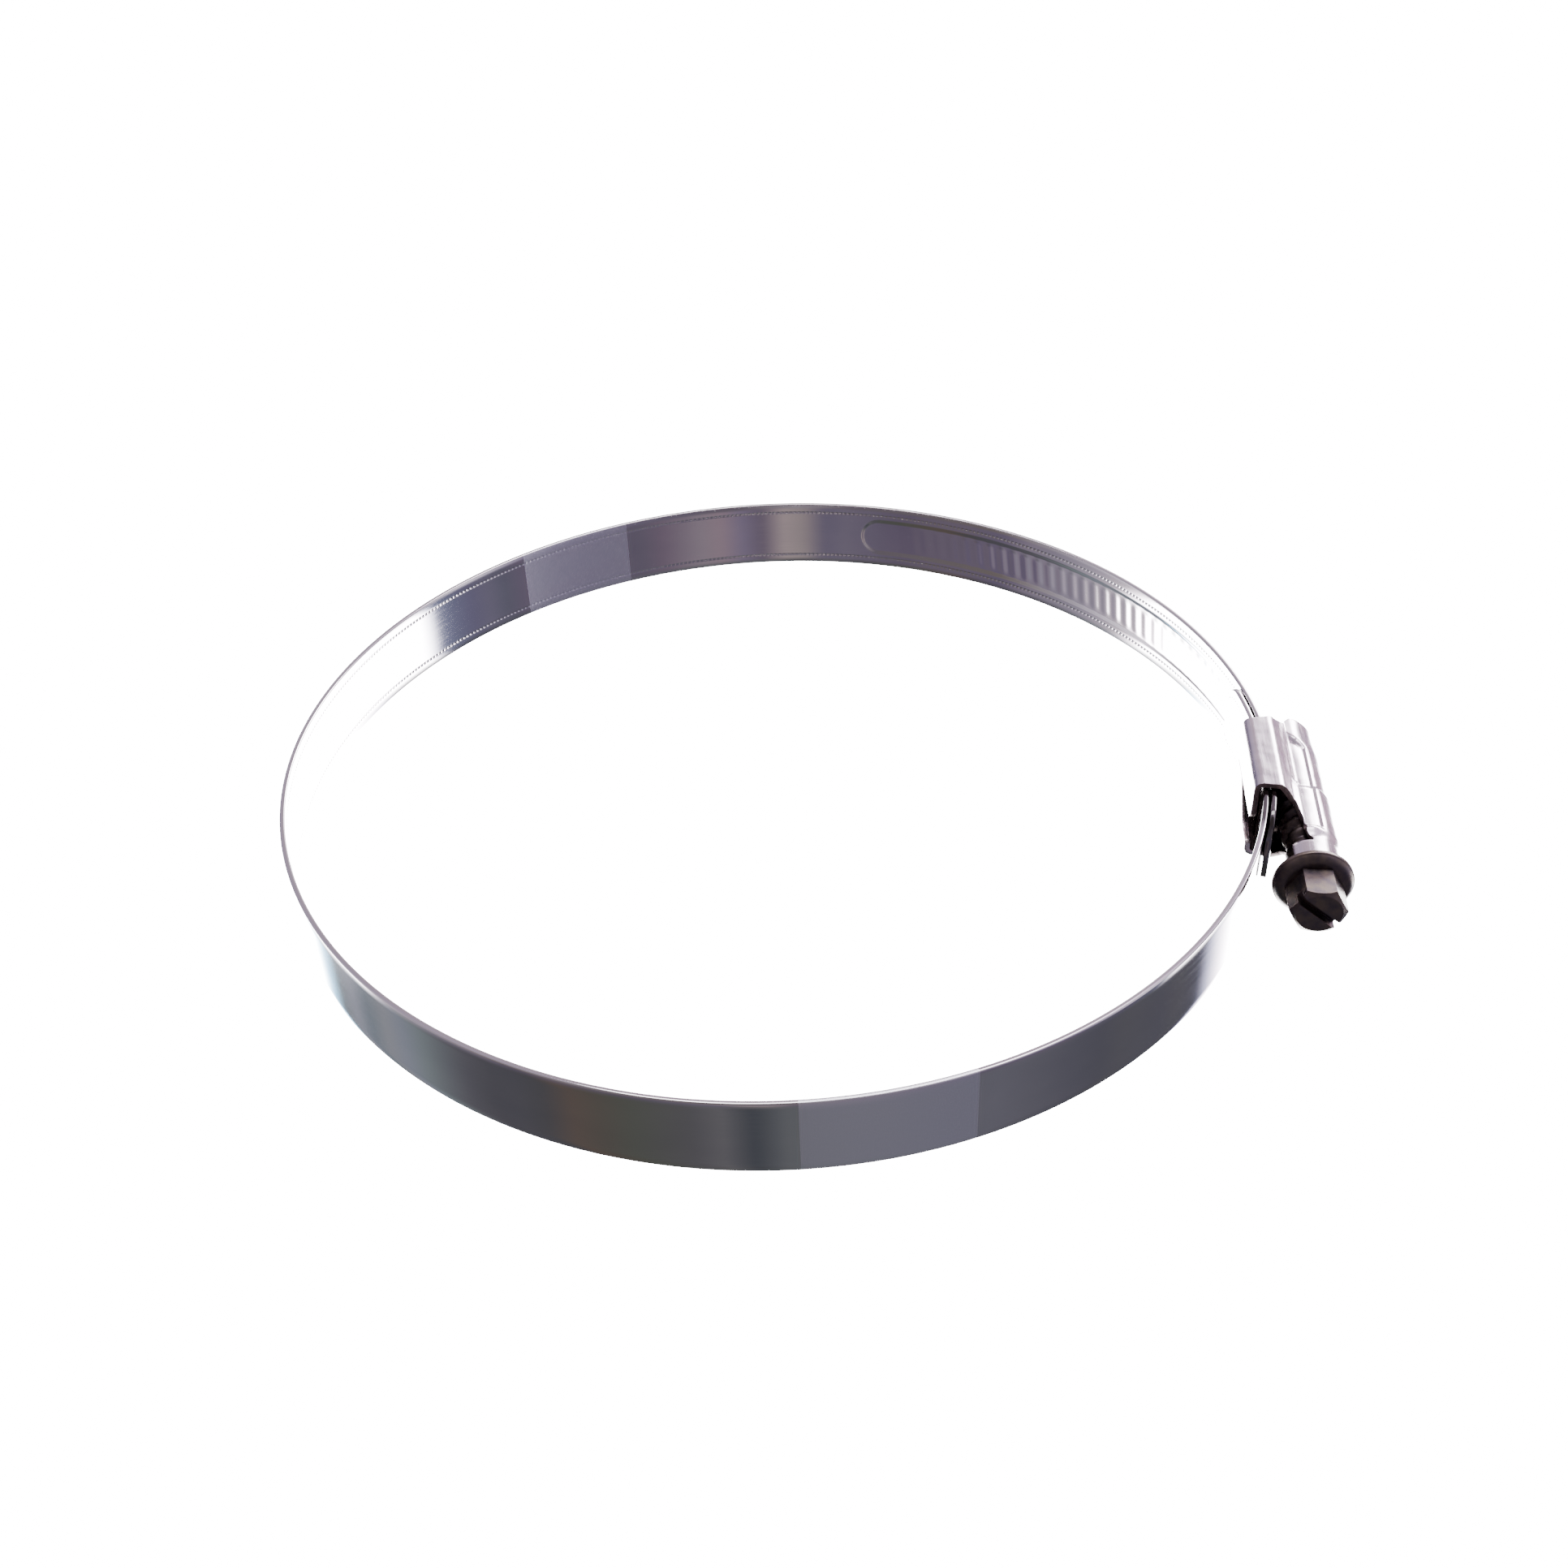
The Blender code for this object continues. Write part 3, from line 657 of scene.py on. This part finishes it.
def build_shank():
    rows = [(THREAD_FIRST - 0.5 * MM, 0.0), (THREAD_FIRST - 0.5 * MM, 1.3 * MM)]
    rows += [(THREAD_FIRST - 0.35 * MM, 1.7 * MM), (THREAD_FIRST - 0.1 * MM, 2.1 * MM)]
    length = THREAD_LAST - THREAD_FIRST
    rows += [(THREAD_FIRST + length * step / THREAD_ROWS, ROOT_RADIUS) for step in range(THREAD_ROWS + 1)]
    rows += [(14.7 * MM, ROOT_RADIUS), (15.0 * MM, SHOULDER_RADIUS - 0.1 * MM), (15.1 * MM, SHOULDER_RADIUS)]
    rows += [(FLANGE_REAR - 0.15 * MM, SHOULDER_RADIUS), (FLANGE_REAR, SHOULDER_RADIUS + 0.15 * MM)]
    rows += [(FLANGE_REAR, FLANGE_RADIUS - 0.2 * MM)]
    rows += arc(FLANGE_REAR + 0.2 * MM, FLANGE_RADIUS - 0.2 * MM, 0.2 * MM, 180, 90, 4)[1:]
    rows += arc(FLANGE_REAR + 0.5 * MM, FLANGE_RADIUS - 0.25 * MM, 0.25 * MM, 90, 25, 4)
    rows += [(FLANGE_REAR + 0.85 * MM, 5.38 * MM), (FLANGE_REAR + 1.15 * MM, 5.12 * MM)]
    rows += [(FLANGE_REAR + 1.4 * MM, 4.8 * MM), (FLANGE_REAR + 1.55 * MM, 4.4 * MM)]
    rows += [(FLANGE_REAR + 1.62 * MM, 4.0 * MM), (FLANGE_REAR + 1.65 * MM, 3.5 * MM)]
    rows += [(FLANGE_REAR + 1.65 * MM, 0.0)]
    bm = bmesh.new()
    line = [bm.verts.new((AXIS_X, -place, radius)) for place, radius in rows]
    edges = [bm.edges.new(pair) for pair in zip(line, line[1:])]
    axis = {"cent": (AXIS_X, 0, 0), "axis": (0, 1, 0)}
    bmesh.ops.spin(bm, geom=line + edges, **axis, angle=2 * math.pi, steps=72, use_merge=True)
    bmesh.ops.remove_doubles(bm, verts=bm.verts, dist=0.002 * MM)
    for vert in bm.verts:
        out = Vector((vert.co.x - AXIS_X, 0.0, vert.co.z))
        place = -vert.co.y
        if THREAD_FIRST < place < THREAD_LAST and out.length > MM:
            grown = (SCREW_RADIUS - ROOT_RADIUS) * worm_height(place, math.atan2(out.x, out.z))
            vert.co += out.normalized() * grown
    bmesh.ops.recalc_face_normals(bm, faces=bm.faces)
    return bm


def cut_away(bm, point, direction):
    """Cuts a convex solid with a plane, takes off the side that direction points to, and closes the cut."""
    geom = bm.verts[:] + bm.edges[:] + bm.faces[:]
    bmesh.ops.bisect_plane(bm, geom=geom, dist=1e-7, plane_co=point, plane_no=direction, clear_outer=True)
    bmesh.ops.holes_fill(bm, edges=[edge for edge in bm.edges if edge.is_boundary], sides=0)


def build_hexagon():
    """The hexagon, flats up and down, with a turned chamfer and the slot, standing on the flange."""
    bm = bmesh.new()
    radius = HEX_FLATS / math.sqrt(3)
    length = HEX_END - HEX_FOOT
    bmesh.ops.create_cone(bm, cap_ends=True, segments=6, radius1=radius, radius2=radius, depth=length)
    square = Matrix.Rotation(SLOT_TURN - math.radians(30), 3, "Z")
    bmesh.ops.rotate(bm, verts=bm.verts, cent=(0, 0, 0), matrix=square)
    top = length / 2
    for step in range(48):
        turn = 2 * math.pi * step / 48
        out = Vector((math.cos(turn), math.sin(turn), 0.0))
        cut_away(bm, out * (HEX_FLATS / 2 - 0.35 * MM) + Vector((0, 0, top)), out + Vector((0, 0, 1.25)))
    half_slot = SLOT_WIDTH / 2
    floor = top - SLOT_DEPTH
    for point, direction in (
        ((0, half_slot, 0), (0, 1, 0)),
        ((0, -half_slot, 0), (0, 1, 0)),
        ((0, 0, floor), (0, 0, 1)),
    ):
        geom = bm.verts[:] + bm.edges[:] + bm.faces[:]
        bmesh.ops.bisect_plane(bm, geom=geom, dist=1e-7, plane_co=point, plane_no=direction)
    in_slot = []
    for face in bm.faces:
        centre = face.calc_center_median()
        if abs(centre.y) < half_slot and centre.z > floor:
            in_slot.append(face)
    bmesh.ops.delete(bm, geom=in_slot, context="FACES_ONLY")
    bmesh.ops.delete(bm, geom=[edge for edge in bm.edges if edge.is_wire], context="EDGES")
    bmesh.ops.delete(bm, geom=[vert for vert in bm.verts if not vert.link_edges], context="VERTS")
    rim = {vert for edge in bm.edges if edge.is_boundary for vert in edge.verts}
    for side in (-half_slot, half_slot):
        wall = [vert for vert in rim if abs(vert.co.y - side) < 1e-6]
        wall.sort(key=lambda vert: math.atan2(vert.co.z - (floor + top) / 2, vert.co.x))
        bm.faces.new(wall)
    bottom = [vert for vert in rim if abs(vert.co.z - floor) < 1e-6]
    bottom.sort(key=lambda vert: math.atan2(vert.co.y, vert.co.x))
    bm.faces.new(bottom)
    bmesh.ops.recalc_face_normals(bm, faces=bm.faces)
    stand = Matrix.Translation((AXIS_X, -(HEX_FOOT + HEX_END) / 2, 0.0))
    turn = Matrix.Rotation(SLOT_TURN, 4, "Y") @ Matrix.Rotation(math.radians(90), 4, "X")
    bmesh.ops.transform(bm, matrix=stand @ turn, verts=bm.verts)
    return bm


# Plated steel, handled: a dull grey-brown metal with cloudy stains about 2 mm across, browner and
# duller in places, and a fine grain from the plating bath that softens its reflections.
def plated_steel():
    material, tree = new_material("plated_cold_headed_steel")
    place = add_node(tree, "ShaderNodeTexCoord").outputs["Object"]
    millimetres = add_node(
        tree, "ShaderNodeVectorMath", {0: place, 1: (1000.0, 1000.0, 1000.0)}, operation="MULTIPLY"
    ).outputs[0]
    stains = add_node(
        tree, "ShaderNodeTexNoise", {"Vector": millimetres, "Scale": 0.55, "Detail": 4.0}
    ).outputs["Fac"]
    grain = add_node(
        tree, "ShaderNodeTexNoise", {"Vector": millimetres, "Scale": 6.0, "Detail": 2.0}
    ).outputs["Fac"]
    share = add_node(
        tree, "ShaderNodeMapRange", {"Value": stains, "From Min": 0.35, "From Max": 0.65}
    ).outputs["Result"]
    colour = add_node(
        tree,
        "ShaderNodeMix",
        {"Factor": share, "A": linear("#544c52"), "B": linear("#6b6059")},
        data_type="RGBA",
    ).outputs["Result"]
    roughness = add_node(
        tree,
        "ShaderNodeMapRange",
        {"Value": stains, "From Min": 0.3, "From Max": 0.7, "To Min": 0.30, "To Max": 0.46},
    ).outputs["Result"]
    bump = add_node(
        tree, "ShaderNodeBump", {"Height": grain, "Strength": 0.3, "Distance": 0.03 * MM}
    ).outputs["Normal"]
    shader = add_node(
        tree,
        "ShaderNodeBsdfPrincipled",
        {"Base Color": colour, "Metallic": 1.0, "Roughness": roughness, "Normal": bump},
    )
    add_node(tree, "ShaderNodeOutputMaterial", {"Surface": shader.outputs[0]})
    return material


screw_steel = plated_steel()
shank = finish_piece("worm_and_flange", build_shank(), screw_steel, "screw", ["worm_screw"])
hexagon = finish_piece("slotted_hexagon", build_hexagon(), screw_steel, "screw")
corners = hexagon.modifiers.new("soft_corners", "BEVEL")
corners.width = 0.08 * MM
corners.segments = 2
corners.limit_method = "ANGLE"
corners.angle_limit = math.radians(25)

# ---------------------------------------------------------------------------------------------------
# Studio. The clamp lies on a lit sheet of plain white acrylic, which curves up all round it into a
# dome. The steel doesn't mirror the dome but the room: dark on the camera's side, with tall grey
# cards, and bright white walls at the sides and behind.
FLOOR_Z = cad_low.z
FLOOR_RADIUS = 1.2
DOME_HEIGHT = 1.0


def light_table():
    material, tree = new_material("lit_white_acrylic")
    shader = add_node(
        tree,
        "ShaderNodeBsdfPrincipled",
        {
            "Base Color": linear("#202020"),
            "Roughness": 0.9,
            "Emission Color": linear("#ffffff"),
            "Emission Strength": 20.0,
        },
    )
    add_node(tree, "ShaderNodeOutputMaterial", {"Surface": shader.outputs[0]})
    return material


cove = bmesh.new()
line_points = [(0.0, FLOOR_Z), (FLOOR_RADIUS * 0.5, FLOOR_Z)]
line_points += arc(FLOOR_RADIUS * 0.5, FLOOR_Z + FLOOR_RADIUS * 0.5, FLOOR_RADIUS * 0.5, 270, 360, 12)[1:]
line_points += [(FLOOR_RADIUS * 0.9, FLOOR_Z + DOME_HEIGHT), (0.0, FLOOR_Z + DOME_HEIGHT * 1.2)]
cove_line = [cove.verts.new((x, 0.0, z)) for x, z in line_points]
cove_edges = [cove.edges.new(pair) for pair in zip(cove_line, cove_line[1:])]
bmesh.ops.spin(
    cove,
    geom=cove_line + cove_edges,
    cent=(0, 0, 0),
    axis=(0, 0, 1),
    angle=2 * math.pi,
    steps=64,
    use_merge=True,
)
bmesh.ops.remove_doubles(cove, verts=cove.verts, dist=MM)
bmesh.ops.recalc_face_normals(cove, faces=cove.faces)
bmesh.ops.reverse_faces(cove, faces=cove.faces)
floor = finish_piece("studio_floor", cove, light_table(), None)
floor.visible_glossy = False

# What the steel mirrors, by compass direction, from behind the clamp (0), round past -X (0.25), the
# camera's side (0.5) and +X (0.75), and back. The values are the cube root of the brightness over 32.
LOW_CARDS = (
    (0.000, "#ffffff"),
    (0.133, "#ffffff"),
    (0.150, "#597486"),
    (0.168, "#383a3c"),
    (0.186, "#3e3f43"),
    (0.204, "#34373a"),
    (0.222, "#3b3c3e"),
    (0.240, "#383a3e"),
    (0.259, "#343738"),
    (0.296, "#2b2b2d"),
    (0.316, "#28282a"),
    (0.335, "#28282a"),
    (0.355, "#272728"),
    (0.375, "#2c2927"),
    (0.395, "#2a2927"),
    (0.415, "#292a28"),
    (0.456, "#2a2a2b"),
    (0.477, "#2e2e2f"),
    (0.497, "#252628"),
    (0.518, "#2e2f30"),
    (0.662, "#2f2f32"),
    (0.740, "#29292c"),
    (0.759, "#2a2a2c"),
    (0.797, "#29292c"),
    (0.815, "#2a2a2c"),
    (0.838, "#29292d"),
    (0.851, "#5a5b66"),
    (0.869, "#a8a3aa"),
    (0.887, "#ffffff"),
    (0.990, "#ffffff"),
)


MIDDLE_CARDS = (
    (0.000, "#ffffff"),
    (0.222, "#ffffff"),
    (0.236, "#999499"),
    (0.250, "#585558"),
    (0.269, "#4a474c"),
    (0.289, "#403e43"),
    (0.308, "#3b393e"),
    (0.328, "#39363b"),
    (0.348, "#302d34"),
    (0.377, "#312e33"),
    (0.407, "#302d32"),
    (0.421, "#2e2b31"),
    (0.465, "#323035"),
    (0.480, "#302e34"),
    (0.494, "#3e3b3b"),
    (0.509, "#433f3f"),
    (0.524, "#302d32"),
    (0.538, "#353239"),
    (0.553, "#3c373a"),
    (0.568, "#3a373a"),
    (0.597, "#322e33"),
    (0.611, "#2e2c31"),
    (0.700, "#302d33"),
    (0.715, "#2d2d32"),
    (0.729, "#313036"),
    (0.744, "#302f37"),
    (0.760, "#33343c"),
    (0.773, "#3a3c46"),
    (0.782, "#b4b4bc"),
    (0.789, "#ffffff"),
    (0.990, "#ffffff"),
)
LEVEL_CARDS = (
    (0.000, "#58555a"),
    (0.080, "#4a484c"),
    (0.110, "#32313a"),
    (0.200, "#3c3b3e"),
    (0.240, "#6e6c70"),
    (0.300, "#4a484c"),
    (0.360, "#32302f"),
    (0.460, "#2f2d30"),
    (0.500, "#3e3c3e"),
    (0.540, "#2f2d30"),
    (0.680, "#33313a"),
    (0.740, "#6e6c70"),
    (0.800, "#4a484c"),
    (0.850, "#5c5258"),
    (0.876, "#443f45"),
    (0.896, "#5a5056"),
    (0.912, "#46414a"),
    (0.930, "#665e64"),
    (0.960, "#4e4a50"),
)
HIGH_CARDS = (
    (0.000, "#4e494d"),
    (0.060, "#484448"),
    (0.120, "#46434a"),
    (0.250, "#4a474c"),
    (0.400, "#32302f"),
    (0.600, "#343234"),
    (0.750, "#6a666c"),
    (0.900, "#605b62"),
    (0.955, "#565158"),
    (0.985, "#504b50"),
)
WINDOW_CARDS = (
    (0.000, "#5a565a"),
    (0.120, "#46434a"),
    (0.250, "#4a474c"),
    (0.500, "#302e30"),
    (0.750, "#4a474c"),
    (0.840, "#4e4a50"),
    (0.872, "#ffffff"),
    (0.950, "#ffffff"),
    (0.975, "#6a666a"),
)


# Each ring begins to take over from the one below at the first height and has done so at the second,
# both as the sine of the angle over the horizon.
RINGS_ABOVE = (
    (-0.68, -0.54, MIDDLE_CARDS),
    (-0.44, -0.34, LEVEL_CARDS),
    (0.14, 0.26, WINDOW_CARDS),
    (0.50, 0.60, HIGH_CARDS),
)


def room_world():
    """The room as a world: rings of cards one above the other, blended by height."""
    world = bpy.data.worlds.new("studio_room")
    world.use_nodes = True
    tree = world.node_tree
    tree.nodes.clear()
    direction = add_node(tree, "ShaderNodeTexCoord").outputs["Generated"]
    split = add_node(tree, "ShaderNodeSeparateXYZ", {"Vector": direction})
    x, y, z = split.outputs
    turn = add_node(tree, "ShaderNodeMath", {0: y, 1: x}, operation="ARCTAN2").outputs[0]
    shifted = add_node(tree, "ShaderNodeMath", {0: turn, 1: -math.pi / 2}, operation="ADD").outputs[0]
    share = add_node(tree, "ShaderNodeMath", {0: shifted, 1: 2 * math.pi}, operation="DIVIDE").outputs[0]
    compass = add_node(tree, "ShaderNodeMath", {0: share}, operation="FRACT").outputs[0]

    def raw(hex_colour):
        return (*[int(hex_colour[place : place + 2], 16) / 255 for place in (1, 3, 5)], 1.0)

    def ring_of_cards(cards):
        ramp = add_node(tree, "ShaderNodeValToRGB", {"Fac": compass})
        stops = ramp.color_ramp.elements
        stops[0].position, stops[0].color = cards[0][0], raw(cards[0][1])
        stops[1].position, stops[1].color = cards[-1][0], raw(cards[-1][1])
        for position, colour in cards[1:-1]:
            stops.new(position).color = raw(colour)
        return ramp.outputs["Color"]

    def by_height(low, high, below, above):
        weight = add_node(
            tree,
            "ShaderNodeMapRange",
            {"Value": z, "From Min": low, "From Max": high},
            interpolation_type="SMOOTHSTEP",
        ).outputs["Result"]
        return add_node(
            tree, "ShaderNodeMix", {"Factor": weight, "A": below, "B": above}, data_type="RGBA"
        ).outputs["Result"]

    room = ring_of_cards(LOW_CARDS)
    for low, high, cards in RINGS_ABOVE:
        room = by_height(low, high, room, ring_of_cards(cards))
    bright = add_node(tree, "ShaderNodeGamma", {"Color": room, "Gamma": 3.0}).outputs["Color"]
    background = add_node(tree, "ShaderNodeBackground", {"Color": bright, "Strength": 32.0})
    add_node(tree, "ShaderNodeOutputWorld", {"Surface": background.outputs[0]})
    return world


bpy.context.scene.world = room_world()

# A soft lamp overhead, a little behind the clamp, picks out the strip's upper edge and the housing.
overhead = bpy.data.lights.new("overhead_softbox", "AREA")
overhead.shape = "RECTANGLE"
overhead.size = 0.5
overhead.size_y = 0.3
overhead.energy = 4.0
overhead_lamp = bpy.data.objects.new("overhead_softbox", overhead)
overhead_lamp.location = (0.05, 0.25, 0.7)
overhead_lamp.rotation_euler = (-math.atan2(0.25, 0.7), math.atan2(0.05, 0.7), 0.0)
bpy.context.scene.collection.objects.link(overhead_lamp)

# The camera looks down on the clamp from the front, a little to the right of its middle.
lens = bpy.data.cameras.new("camera")
lens.lens = 41.94
lens.sensor_width = 36.0
lens.clip_start = 0.01
camera = bpy.data.objects.new("camera", lens)
heading = Matrix.Rotation(math.radians(6.905), 4, "Z")
tilt = Matrix.Rotation(math.radians(90 - 37.556), 4, "X")
roll = Matrix.Rotation(math.radians(-2.397), 4, "Z")
camera.matrix_world = Matrix.Translation(Vector((28.14, -219.69, 168.23)) * MM) @ heading @ tilt @ roll
bpy.context.scene.collection.objects.link(camera)
bpy.context.scene.camera = camera
